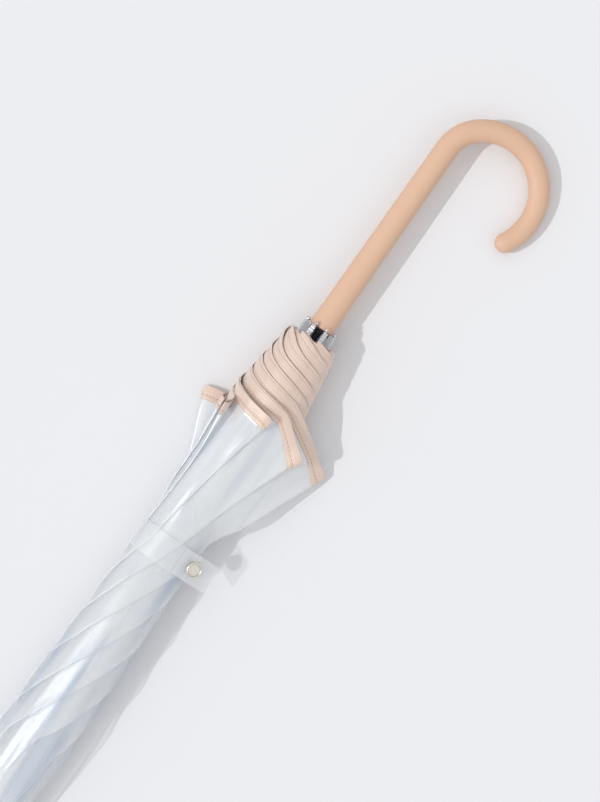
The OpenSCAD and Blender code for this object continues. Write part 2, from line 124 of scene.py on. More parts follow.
class Nodes:
    """Small helper that builds a material's node tree."""

    def __init__(self, name: str) -> None:
        """Starts a material with one Principled shader.

        Args:
            name: The material's name.
        """
        self.material = bpy.data.materials.new(name)
        self.material.use_nodes = True
        self.tree = self.material.node_tree
        self.shader = self.tree.nodes["Principled BSDF"]

    def add(self, kind: str, **values: object) -> bpy.types.Node:
        """Adds a node and sets its properties.

        Args:
            kind: The node's type name without its ShaderNode prefix.
            **values: Properties of the node.

        Returns:
            The new node.
        """
        node = self.tree.nodes.new("ShaderNode" + kind)
        for key, value in values.items():
            setattr(node, key, value)
        return node

    def link(self, output: bpy.types.NodeSocket, target: bpy.types.NodeSocket) -> None:
        """Joins two sockets."""
        self.tree.links.new(output, target)

    def set(self, **values: object) -> None:
        """Sets plain values on the shader, with underscores for spaces in the socket names."""
        for key, value in values.items():
            self.shader.inputs[key.replace("_", " ")].default_value = value

    def coordinates(self, scale: float | tuple[float, float, float]) -> bpy.types.NodeSocket:
        """Returns the object's own coordinates, scaled.

        Args:
            scale: Repeats per metre, the same in all directions or one for each.

        Returns:
            The mapped vector socket.
        """
        place = self.add("TexCoord")
        mapping = self.add("Mapping")
        mapping.inputs["Scale"].default_value = scale if isinstance(scale, tuple) else (scale, scale, scale)
        self.link(place.outputs["Object"], mapping.inputs["Vector"])
        return mapping.outputs["Vector"]

    def uv(self) -> bpy.types.Node:
        """Reads the piece's UVs.

        Returns:
            A node whose X and Y outputs are the UVs, in metres.
        """
        place = self.add("TexCoord")
        parts = self.add("SeparateXYZ")
        self.link(place.outputs["UV"], parts.inputs["Vector"])
        return parts

    def math(self, operation: str, first: bpy.types.NodeSocket,
             second: bpy.types.NodeSocket | float = 0.0) -> bpy.types.NodeSocket:
        """Adds an arithmetic step on one or two values, held between 0 and 1 for a sum.

        Args:
            operation: The Math node's operation.
            first: The first value.
            second: The second value.

        Returns:
            The result's socket.
        """
        node = self.add("Math", operation=operation, use_clamp=operation == "ADD")
        self.link(first, node.inputs[0])
        if isinstance(second, float):
            node.inputs[1].default_value = second
        else:
            self.link(second, node.inputs[1])
        return node.outputs["Value"]

    def noise(self, scale: float | tuple[float, float, float], detail: float = 3.0) -> bpy.types.NodeSocket:
        """Adds a noise over the object.

        Args:
            scale: Features per metre, the same in all directions or one for each.
            detail: How many finer layers it has.

        Returns:
            The noise's value socket.
        """
        texture = self.add("TexNoise")
        texture.inputs["Scale"].default_value = 1.0
        texture.inputs["Detail"].default_value = detail
        self.link(self.coordinates(scale), texture.inputs["Vector"])
        return texture.outputs["Fac"]

    def ramp(self, value: bpy.types.NodeSocket, low: float, high: float) -> bpy.types.NodeSocket:
        """Maps a 0 to 1 value to a range.

        Args:
            value: The value.
            low: Result at 0.
            high: Result at 1.

        Returns:
            The mapped socket.
        """
        node = self.add("MapRange")
        node.inputs["To Min"].default_value = low
        node.inputs["To Max"].default_value = high
        self.link(value, node.inputs["Value"])
        return node.outputs["Result"]

    def step(self, value: bpy.types.NodeSocket, start: float, end: float, low: float,
             high: float) -> bpy.types.NodeSocket:
        """Maps a value smoothly between two results.

        Args:
            value: The value.
            start: Where the step begins.
            end: Where it ends, above or below its start.
            low: Result at the start.
            high: Result at the end.

        Returns:
            The mapped socket.
        """
        node = self.add("MapRange", interpolation_type="SMOOTHSTEP")
        node.inputs["From Min"].default_value = min(start, end)
        node.inputs["From Max"].default_value = max(start, end)
        node.inputs["To Min"].default_value = low if start < end else high
        node.inputs["To Max"].default_value = high if start < end else low
        self.link(value, node.inputs["Value"])
        return node.outputs["Result"]

    def tint(self, value: bpy.types.NodeSocket, first: Colour, second: Colour) -> bpy.types.NodeSocket:
        """Mixes two colours.

        Args:
            value: Share of the second colour.
            first: The first colour.
            second: The second colour.

        Returns:
            The colour socket.
        """
        node = self.add("Mix", data_type="RGBA")
        node.inputs["A"].default_value = (*first, 1.0)
        node.inputs["B"].default_value = (*second, 1.0)
        self.link(value, node.inputs["Factor"])
        return node.outputs["Result"]

    def bump(self, height: bpy.types.NodeSocket, depth: float, strength: float) -> None:
        """Adds a bump to the shader's normal.

        Args:
            height: The bump's height.
            depth: Its depth in metres.
            strength: Its strength, from 0 to 1.
        """
        node = self.add("Bump")
        node.inputs["Strength"].default_value = strength
        node.inputs["Distance"].default_value = depth
        self.link(height, node.inputs["Height"])
        self.link(node.outputs["Normal"], self.shader.inputs["Normal"])


@dataclass(frozen=True)
class Skin:
    """Opaque finish: faint mottling, a drift in its gloss and a fine grain."""

    name: str
    base: Colour
    shade: Colour
    # Least and greatest roughness
    roughness: Pair
    # Features per metre and detail of the mottling, the drift in gloss and the grain
    mottle: Pair
    drift: Pair
    grain: Pair
    # Depth of the grain in metres, and its strength
    grain_depth: float = 0.00004
    grain_strength: float = 0.4
    gloss: float = 0.5
    metal: float = 0.0

    def build(self) -> bpy.types.Material:
        """Builds the finish.

        Returns:
            The material.
        """
        n = Nodes(self.name)
        n.link(n.tint(n.noise(*self.mottle), self.base, self.shade), n.shader.inputs["Base Color"])
        n.link(n.ramp(n.noise(*self.drift), *self.roughness), n.shader.inputs["Roughness"])
        n.set(Specular_IOR_Level=self.gloss, Metallic=self.metal)
        n.bump(n.noise(*self.grain), self.grain_depth, self.grain_strength)
        return n.material


@dataclass(frozen=True)
class SoftGrip(Skin):
    """Soft matte coating of the crook handle, with a fine moulded grain."""

    name: str = "soft_grip"
    base: Colour = (0.755, 0.492, 0.344)
    shade: Colour = (0.725, 0.465, 0.317)
    roughness: Pair = (0.47, 0.59)
    mottle: Pair = (55.0, 3.0)
    drift: Pair = (420.0, 3.0)
    grain: Pair = (2600.0, 2.0)
    grain_depth: float = 0.00006
    grain_strength: float = 0.35


@dataclass(frozen=True)
class PlatedMetal(Skin):
    """Plated metal with a slight colour drift and fine wear in its gloss."""

    mottle: Pair = (220.0, 3.0)
    drift: Pair = (700.0, 5.0)
    grain: Pair = (1500.0, 3.0)
    grain_depth: float = 0.00002
    grain_strength: float = 0.3
    metal: float = 1.0


@dataclass(frozen=True)
class MouldedPlastic(Skin):
    """Moulded plastic with a fine grain, a little lighter in places."""

    mottle: Pair = (130.0, 6.0)
    drift: Pair = (500.0, 3.0)
    grain: Pair = (2200.0, 3.0)


@dataclass(frozen=True)
class CoatedMetal(Skin):
    """White dipped coat on the metal frame, which shows as pale shapes through the film."""

    name: str = "white_coat"
    base: Colour = (0.90, 0.905, 0.91)
    shade: Colour = (0.87, 0.875, 0.885)
    roughness: Pair = (0.24, 0.38)
    mottle: Pair = (90.0, 3.0)
    drift: Pair = (300.0, 3.0)
    grain: Pair = (900.0, 2.0)
    grain_depth: float = 0.00003
    grain_strength: float = 0.3


@dataclass(frozen=True)
class ClearFilm:
    """Clear vinyl film: glossy, milky where layers lie on each other, whiter at creases and near its hem."""

    name: str = "clear_film"
    base: Colour = (0.97, 0.985, 1.0)
    # Blue-grey of the painted streaks, which stand in for dark reflections and shade on the film
    painted_reflection: Colour = (0.61, 0.71, 0.84)
    # Density face on and at a glancing angle, and how late the glancing angle sets in
    body: float = 0.19
    edge: float = 0.48
    glance: float = 0.10
    # Least and greatest roughness, and features per metre of the drift between them
    roughness: Pair = (0.12, 0.24)
    drift: float = 90.0
    refraction: float = 1.8
    # Density of the fold's crease, half its width, and extra density near the hem, for a film with a fold
    crease: float = 0.0
    crease_half: float = 0.0012
    haze: float = 0.0
    # Shares of the gore's length between which the haze sets in
    haze_over: Pair = (0.78, 0.90)
    # Painted streaks of dark reflection and shade: along the shaft and across it in features per metre, and
    # the noise levels where they set in
    reflection_streaks: tuple[float, float, float] = (6.0, 95.0, 95.0)
    reflection_band: Pair = (0.48, 0.65)
    # Shares of the gore's length between which the painted streaks fade, and what is left of them
    fade_over: Pair = (0.70, 0.86)
    fade_left: float = 0.3
    # Ripple that breaks up the gloss: strength, features per metre, and depth in metres
    ripple: float = 0.12
    ripples: tuple[float, float, float] = (8.0, 120.0, 120.0)
    ripple_depth: float = 0.0006

    def build(self) -> bpy.types.Material:
        """Builds the film: see-through face on, denser at glancing angles, with a faint ripple.

        Returns:
            The material.
        """
        n = Nodes(self.name)
        # Painted streaks of dark reflection and shade, mixed into the film's colour
        painted_streak = n.step(n.noise(self.reflection_streaks), *self.reflection_band, 0.0, 1.0)
        if self.crease > 0.0:
            start, end = (share * Canopy.uv_length for share in self.fade_over)
            fade = n.step(n.uv().outputs["Y"], start, end, 1.0, self.fade_left)
            painted_streak = n.math("MULTIPLY", painted_streak, fade)
        n.link(n.tint(painted_streak, self.base, self.painted_reflection), n.shader.inputs["Base Color"])
        n.link(n.ramp(n.noise(self.drift), *self.roughness), n.shader.inputs["Roughness"])
        n.set(IOR=self.refraction, Specular_IOR_Level=1.0)
        weight = n.add("LayerWeight")
        weight.inputs["Blend"].default_value = self.glance
        density = n.ramp(weight.outputs["Facing"], self.body, self.edge)
        if self.crease > 0.0:
            density = self.fold_marks(n, density)
        n.link(density, n.shader.inputs["Alpha"])
        if self.ripple > 0.0:
            n.bump(n.noise(self.ripples, 1.0), self.ripple_depth, self.ripple)
        return n.material

    def fold_marks(self, n: Nodes, density: bpy.types.NodeSocket) -> bpy.types.NodeSocket:
        """Adds the crease along the fold and the haze near the hem, from the gore's UVs.

        Args:
            n: The material's nodes.
            density: Density of the plain film.

        Returns:
            The whole density.
        """
        parts = n.uv()
        off = n.math("ABSOLUTE", n.math("SUBTRACT", parts.outputs["X"], Canopy.uv_width / 2.0))
        mark = n.step(off, self.crease_half, 0.4 * self.crease_half, 0.0, self.crease)
        start, end = (share * Canopy.uv_length for share in self.haze_over)
        haze = n.step(parts.outputs["Y"], start, end, 0.0, self.haze)
        return n.math("ADD", n.math("ADD", density, mark), haze)


@dataclass(frozen=True)
class BindingTape:
    """Satin binding tape with fine lengthwise ribs and a sewn line."""

    base: Colour = (0.77, 0.585, 0.485)
    shade: Colour = (0.71, 0.51, 0.405)
    thread: Colour = (0.46, 0.27, 0.19)
    rib_pitch: float = 0.0021
    weft_pitch: float = 0.0006
    # Share of the ribs in the weave, the weft's range, and the mix of the two colours that they give
    rib_share: float = 0.5
    weft_range: Pair = (0.35, 0.65)
    tone: Pair = (0.3, 1.05)
    weave_depth: float = 0.00016
    weave_strength: float = 0.5
    # Least and greatest roughness, and features per metre of the drift between them
    roughness: Pair = (0.42, 0.58)
    drift: float = 300.0
    # Place of the sewn line from the free edge, half its width, and the length of a stitch
    seam_at: float = 0.0069
    seam_half: float = 0.00042
    stitch: float = 0.0024
    # Part of the stitch's wave over which the thread comes up, and what shows of it between stitches
    stitch_rise: Pair = (-0.7, -0.2)
    stitch_low: float = 0.35

    def build(self) -> bpy.types.Material:
        """Builds the tape: ribs across its width and a finer weft along it, from its UVs.

        Returns:
            The material.
        """
        n = Nodes("binding_tape")
        parts = n.uv()
        waves = []
        for axis, pitch in (("Y", self.rib_pitch), ("X", self.weft_pitch)):
            waves.append(n.math("SINE", n.math("MULTIPLY", parts.outputs[axis], 2.0 * math.pi / pitch)))
        weave = n.add("Math", operation="MULTIPLY_ADD")
        n.link(waves[0], weave.inputs[0])
        weave.inputs[1].default_value = self.rib_share
        n.link(n.ramp(waves[1], *self.weft_range), weave.inputs[2])
        cloth = n.tint(n.ramp(weave.outputs["Value"], *self.tone), self.shade, self.base)
        n.link(self.sewn(n, parts, cloth), n.shader.inputs["Base Color"])
        n.link(n.ramp(n.noise(self.drift), *self.roughness), n.shader.inputs["Roughness"])
        n.set(Sheen_Weight=0.8, Sheen_Roughness=0.5, IOR=1.7, Specular_IOR_Level=0.8)
        n.bump(weave.outputs["Value"], self.weave_depth, self.weave_strength)
        return n.material

    def sewn(self, n: Nodes, parts: bpy.types.Node, cloth: bpy.types.NodeSocket) -> bpy.types.NodeSocket:
        """Adds the sewn line to the cloth's colour.

        Args:
            n: The material's nodes.
            parts: The node that holds the tape's UVs.
            cloth: Colour of the plain cloth.

        Returns:
            The whole colour.
        """
        off = n.math("ABSOLUTE", n.math("SUBTRACT", parts.outputs["Y"], self.seam_at))
        wave = n.math("SINE", n.math("MULTIPLY", parts.outputs["X"], 2.0 * math.pi / self.stitch))
        row = n.step(off, self.seam_half, 0.4 * self.seam_half, 0.0, 1.0)
        thread = n.math("MULTIPLY", row, n.step(wave, *self.stitch_rise, self.stitch_low, 1.0))
        colour = n.add("Mix", data_type="RGBA")
        n.link(thread, colour.inputs["Factor"])
        n.link(cloth, colour.inputs["A"])
        colour.inputs["B"].default_value = (*self.thread, 1.0)
        return colour.outputs["Result"]


@dataclass
class Finishes:
    """All finishes of the umbrella, built once."""

    grip: bpy.types.Material = field(default_factory=SoftGrip().build)
    film: bpy.types.Material = field(default_factory=ClearFilm(crease=0.7, haze=0.26).build)
    strap: bpy.types.Material = field(default_factory=ClearFilm(
        "strap_film", painted_reflection=(0.93, 0.955, 0.98), body=0.2, roughness=(0.26, 0.38), ripple=0.0).build)
    tape: bpy.types.Material = field(default_factory=BindingTape().build)
    steel: bpy.types.Material = field(default_factory=PlatedMetal(
        "bright_steel", (0.72, 0.72, 0.73), (0.58, 0.58, 0.60), (0.14, 0.3)).build)
    snap: bpy.types.Material = field(default_factory=PlatedMetal(
        "champagne_plate", (0.80, 0.77, 0.70), (0.72, 0.68, 0.60), (0.182, 0.39)).build)
    coat: bpy.types.Material = field(default_factory=CoatedMetal().build)
    black: bpy.types.Material = field(default_factory=MouldedPlastic(
        "black_plastic", (0.009, 0.0095, 0.012), (0.022, 0.023, 0.028), (0.32, 0.5), gloss=0.2).build)
    white: bpy.types.Material = field(default_factory=MouldedPlastic(
        "white_plastic", (0.80, 0.81, 0.83), (0.74, 0.75, 0.78), (0.22, 0.4)).build)


def make_mesh(name: str, points: np.ndarray, faces: list[tuple[int, ...]], material: bpy.types.Material,
              uvs: np.ndarray | None = None) -> bpy.types.Object:
    """Makes a smooth mesh object in the scene.

    Args:
        name: The object's name.
        points: One row for each point, in millimetres.
        faces: Point numbers of each face.
        material: The finish.
        uvs: One row for each point, in metres, or None.

    Returns:
        The new object.
    """
    mesh = bpy.data.meshes.new(name)
    mesh.from_pydata((points * MM).tolist(), [], faces)
    mesh.validate()
    if uvs is not None:
        layer = mesh.uv_layers.new(name="UVMap")
        corner = np.empty(len(mesh.loops), dtype=np.int32)
        mesh.loops.foreach_get("vertex_index", corner)
        layer.data.foreach_set("uv", uvs[corner].astype(np.float32).ravel())
    mesh.shade_smooth()
    mesh.materials.append(material)
    obj = bpy.data.objects.new(name, mesh)
    bpy.context.collection.objects.link(obj)
    return obj


def grid_faces(rows: int, columns: int) -> list[tuple[int, ...]]:
    """Makes quads over a grid of points that is stored row by row.

    Args:
        rows: Number of rows of points.
        columns: Number of points in a row.

    Returns:
        The quads.
    """
    faces = []
    for i in range(rows - 1):
        for j in range(columns - 1):
            a = i * columns + j
            faces.append((a, a + 1, a + columns + 1, a + columns))
    return faces


def tube_faces(rings: int, sides: int) -> list[tuple[int, ...]]:
    """Makes the faces of a closed tube whose rings of points are stored one after another.

    Args:
        rings: Number of rings.
        sides: Number of points in a ring.

    Returns:
        The quads, and a face at each end.
    """
    faces = []
    for i in range(rings - 1):
        for j in range(sides):
            n = (j + 1) % sides
            faces.append((i * sides + j, i * sides + n, (i + 1) * sides + n, (i + 1) * sides + j))
    faces.append(tuple(range(sides))[::-1])
    faces.append(tuple(range((rings - 1) * sides, rings * sides)))
    return faces


def lathe(name: str, profile: list[tuple[float, float]], origin: np.ndarray, axis: np.ndarray,
          material: bpy.types.Material, sides: int = 64) -> bpy.types.Object:
    """Makes a turned piece.

    Args:
        name: The object's name.
        profile: Heights along the axis and radii, from one end to the other.
        origin: Foot of the axis, in millimetres.
        axis: Direction of the axis.
        material: The finish.
        sides: Points round the piece.

    Returns:
        The new object.
    """
    up = Vector(axis).normalized()
    across = up.orthogonal().normalized()
    other = up.cross(across)
    points = []
    for height, radius in profile:
        for j in range(sides):
            a = 2.0 * math.pi * j / sides
            offset = across * (radius * math.cos(a)) + other * (radius * math.sin(a))
            points.append(np.array(origin) + np.array(up * height + offset))
    return make_mesh(name, np.array(points), tube_faces(len(profile), sides), material)


@dataclass(frozen=True)
class LoosePleat:
    """Pleat whose fold stands off the bundle near the hem."""

    # Azimuth where it leaves the bundle, and film beyond a close pleat, in degrees
    leave: float
    extra: float
    # How far it unrolls: 1 is straight, and more bends outward
    unroll: float
    # Place of its hem at the fold
    end_x: float


@dataclass
class Furl:
    """Shape of the furled bundle: how wide it is, and how far each pleat has wound round the shaft."""

    # Ribs: place and radius of their hinges, length, end pieces, radius at the tips, and height
    crown_x: float = 75.0
    hinge_r: float = 8.0
    rib_len: float = 598.0
    tip_len: float = 12.5
    tip_r: float = 11.5
    rib_high: float = 2.5
    # Room between neighbours, and the film's thickness
    gap: float = 0.45
    film_t: float = 0.3
    # Places where the bundle starts, where it is widest, and of the strap
    top_x: float = 70.0
    bulge_x: float = 310.0
    strap_x: float = 476.7
    strap_w: float = 21.6
    strap_t: float = 0.5
    # How much further from the handle the hem lies between two ribs than at a rib
    hem_drop: float = 66.0
    # The bundle's radius and a pleat's wound angle at those three places, and near the hem
    radii: tuple[float, ...] = (11.6, 27.0, 23.5, 28.2)
    turns: tuple[float, ...] = (45.0, 115.0, 305.0, 360.0)
    # Distances before the cuff where a wound pleat and a loose one reach their full turn
    skirt_back: float = 41.0
    loose_back: float = 8.0
    # Length beside the strap that leaves room for it on the floor, and the length of the change
    strap_room: Pair = (12.0, 20.0)
    # How far down a direction points before the floor can flatten the bundle there
    floor_reach: float = 0.3
    # How the layers crowd outward on top, and the height where that sets in and its range, in radii
    crowding: float = 0.55
    crowd_from: float = -0.75
    crowd_over: float = 0.6
    # Tuck beside a rib: its angle, its share of a half gore, its run-in, and its first and added stand
    tuck: float = 58.0
    tuck_share: float = 0.26
    tuck_run: float = 160.0
    tuck_stand: Pair = (0.25, 0.5)
    # Distance past the strap where a loose pleat starts to unroll, and the length over which it does
    unroll_start: float = 15.0
    unroll_len: float = 30.0
    loose: dict[int, LoosePleat] = field(default_factory=lambda: {
        1: LoosePleat(28.0, 6.0, 2.1, 589.0),
        2: LoosePleat(100.0, -6.0, 0.6, 596.0),
        3: LoosePleat(112.5, 30.0, 0.86, 582.0),
        4: LoosePleat(112.5, 62.0, 0.79, 583.0),
        7: LoosePleat(315.0, 40.0, 2.1, 590.0)})
    # Angle over which a loose hem turns from the cone's slant to its own
    leave_ease: float = 16.0
    # How much less the hems slant on the top side than below, and the angle over which that sets in
    hem_sway: float = 0.6
    sway_ease: float = 120.0
    # Angle beside a rib over which the hem takes up its slant
    rib_slack: float = 70.0
    # Slack waves of the film: height, waves round the shaft, degrees for each millimetre, and start
    waves: tuple[tuple[float, float, float, float], ...] = (
        (0.6, 3.0, -0.9, 0.0), (0.4, 5.0, 1.7, 40.0), (0.3, 11.0, -0.5, 0.0), (0.16, 19.0, 0.8, 80.0))
    # Length past the strap where the waves set in, and the height where they do and its range, in radii
    wave_run: float = 45.0
    wave_from: float = -0.6
    wave_over: float = 0.5

    @property
    def hem_x(self) -> float:
        """Place of the hem at a rib."""
        return self.crown_x + self.rib_len - self.tip_len

    @property
    def cuff_x(self) -> float:
        """Place of the hem between two ribs."""
        return self.hem_x - self.hem_drop

    def bundle(self, x: np.ndarray, azimuth: np.ndarray) -> np.ndarray:
        """Gives the bundle's radius, cut flat where it lies on the floor.

        Args:
            x: Place along the shaft.
            azimuth: Direction from the axis, in degrees.

        Returns:
            The radius.
        """
        stations = (self.top_x, self.bulge_x, self.strap_x, self.cuff_x)
        r = np.full_like(x, self.radii[0])
        for i in range(3):
            t = np.clip((x - stations[i]) / (stations[i + 1] - stations[i]), 0.0, 1.0)
            r = r + (self.radii[i + 1] - self.radii[i]) * (1.0 - np.cos(np.pi * t)) / 2.0
        room, change = self.strap_room
        near = 1.0 - smooth((np.abs(x - self.strap_x) - self.strap_w / 2.0 - room) / change)
        lie = AXIS_H - (self.film_t + self.gap + self.strap_t) * near - self.film_t
        down = -sind(azimuth)
        reach = self.floor_reach
        return np.where(down < reach, r, np.minimum(r, lie / np.maximum(down, reach)))

    def rib_back(self, x: np.ndarray) -> np.ndarray:
        """Returns the radius just outside the ribs."""
        slope = (self.tip_r - self.hinge_r) / self.rib_len
        return self.hinge_r + (x - self.crown_x) * slope + self.rib_high + self.gap

    def base_turn(self, x: np.ndarray) -> np.ndarray:
        """Returns the wound angle of a pleat that lies close, in degrees."""
        stations = (self.top_x, self.bulge_x, self.strap_x, self.cuff_x - self.skirt_back)
        return np.interp(x, stations, self.turns)

    def full_turn(self, k: int) -> float:
        """Returns the wound angle of pleat k at its hem, in degrees."""
        return self.turns[-1] + (self.loose[k].extra if k in self.loose else 0.0)

    def fold_turn(self, k: int, x: np.ndarray) -> np.ndarray:
        """Gives how far pleat k has wound round from its rib to its fold.

        Args:
            k: Number of the pleat.
            x: Place along the shaft.

        Returns:
            The wound angle, in degrees.
        """
        if k not in self.loose:
            return self.base_turn(x)
        stations = (self.top_x, self.bulge_x, self.strap_x, self.cuff_x - self.loose_back)
        return np.interp(x, stations, (*self.turns[:3], self.full_turn(k)))

    def leave_turn(self, k: int) -> float:
        """Gives the wound angle at which pleat k leaves the bundle.

        Args:
            k: Number of the pleat.

        Returns:
            The angle in degrees, endless for a pleat that stays.
        """
        if k not in self.loose:
            return math.inf
        return self.loose[k].leave + 360.0 - rib_azimuth(k)

    def wound(self, q: np.ndarray, turn: np.ndarray, x: np.ndarray) -> tuple[np.ndarray, np.ndarray]:
        """Winds a half gore: a tuck beside the rib, then the long run to the fold.

        Args:
            q: Share of the way from a rib to the fold.
            turn: Angle of the fold.
            x: Place along the shaft.

        Returns:
            The wound angle in degrees, and how far each point stands out within its own turn.
        """
        a = self.tuck_share
        tuck = self.tuck * smooth((x - self.top_x) / self.tuck_run)
        inside = tuck * np.sin(np.pi * np.clip(q / a, 0.0, 1.0))
        run = np.clip((q - a) / (1.0 - a), 0.0, 1.0)
        first, added = self.tuck_stand
        return np.where(q < a, inside, run * turn), np.where(q < a, first + added * q / a, 1.0)

    def hem_edge(self, k: int, q: np.ndarray) -> np.ndarray:
        """Gives the place of the hem's free edge.

        Args:
            k: Number of the pleat.
            q: Share of the way from a rib to the fold.

        Returns:
            The place along the shaft.
        """
        full = self.turns[-1]
        f, _ = self.wound(q, np.full_like(q, self.full_turn(k)), np.full_like(q, self.hem_x))
        held = np.minimum(f, min(full, self.leave_turn(k)))
        sway = math.degrees(self.hem_sway) * cosd(rib_azimuth(k) + held) * smooth(held / self.sway_ease)
        slack = self.rib_slack
        slant = np.where(held < slack, held * held / (2.0 * slack), held - slack / 2.0) / (full - slack / 2.0)
        edge = self.hem_x - self.hem_drop * (slant + sway / full)
        if k not in self.loose:
            return edge
        over = np.maximum(f - self.leave_turn(k), 0.0)
        last = self.full_turn(k) - self.leave_turn(k)
        ease = min(self.leave_ease, last)
        run = np.where(over < ease, over * over / (2.0 * ease), over - ease / 2.0)
        return edge + (self.loose[k].end_x - edge) * run / (last - ease / 2.0)

    def layer(self, share: np.ndarray, azimuth: np.ndarray) -> np.ndarray:
        """Returns the share of the way from ribs to outside, for a share of the wound angle."""
        power = 1.0 - (1.0 - self.crowding) * smooth((sind(azimuth) - self.crowd_from) / self.crowd_over)
        return np.power(np.clip(share, 0.0, 1.0), power)

    def point(self, k: int, f: np.ndarray, stand: np.ndarray, x: np.ndarray, up: np.ndarray) -> np.ndarray:
        """Returns points of pleat k.

        Args:
            k: Number of the rib that the pleat starts from.
            f: Angle wound from that rib, in degrees.
            stand: How far the points stand out within their own turn, 1 for all the way.
            x: Place along the shaft.
            up: Lift off the pleat's inner layer, square to it.

        Returns:
            An array of points, with the last axis holding X, Y and Z.
        """
        free = np.zeros_like(x)
        held = f
        if k in self.loose:
            free = smooth((x - self.strap_x - self.unroll_start) / self.unroll_len) * self.loose[k].unroll
            held = np.where(free > 1.0e-6, np.minimum(f, self.leave_turn(k)), f)
        b = rib_azimuth(k) + held
        back = self.rib_back(x)
        share = self.layer(held / self.base_turn(x), b) * stand
        r = back + (self.bundle(x, b) - back) * share
        r = r + self.ripple(x, b) * share
        curl = 1.0 - free
        curl = np.where(np.abs(curl) < 1.0e-3, 1.0e-3, curl)
        turn = (f - held) * curl
        out = r / curl * sind(turn)
        inward = r / curl * (1.0 - cosd(turn))
        y = r * cosd(b) - out * sind(b) - inward * cosd(b) + up * cosd(b + turn)
        z = r * sind(b) + out * cosd(b) - inward * sind(b) + up * sind(b + turn)
        return np.stack([x, y, np.maximum(z, self.film_t - AXIS_H)], axis=-1)

    def ripple(self, x: np.ndarray, b: np.ndarray) -> np.ndarray:
        """Gives the slack of the film over the bundle, none under the strap or on the floor.

        Args:
            x: Place along the shaft.
            b: Azimuth, in degrees.

        Returns:
            How far the film stands out.
        """
        far = smooth((np.abs(x - self.strap_x) - self.strap_w / 2.0) / self.wave_run)
        slack = sum(h * sind(around * b + along * x + first) for h, around, along, first in self.waves)
        return slack * far * smooth((sind(b) - self.wave_from) / self.wave_over)


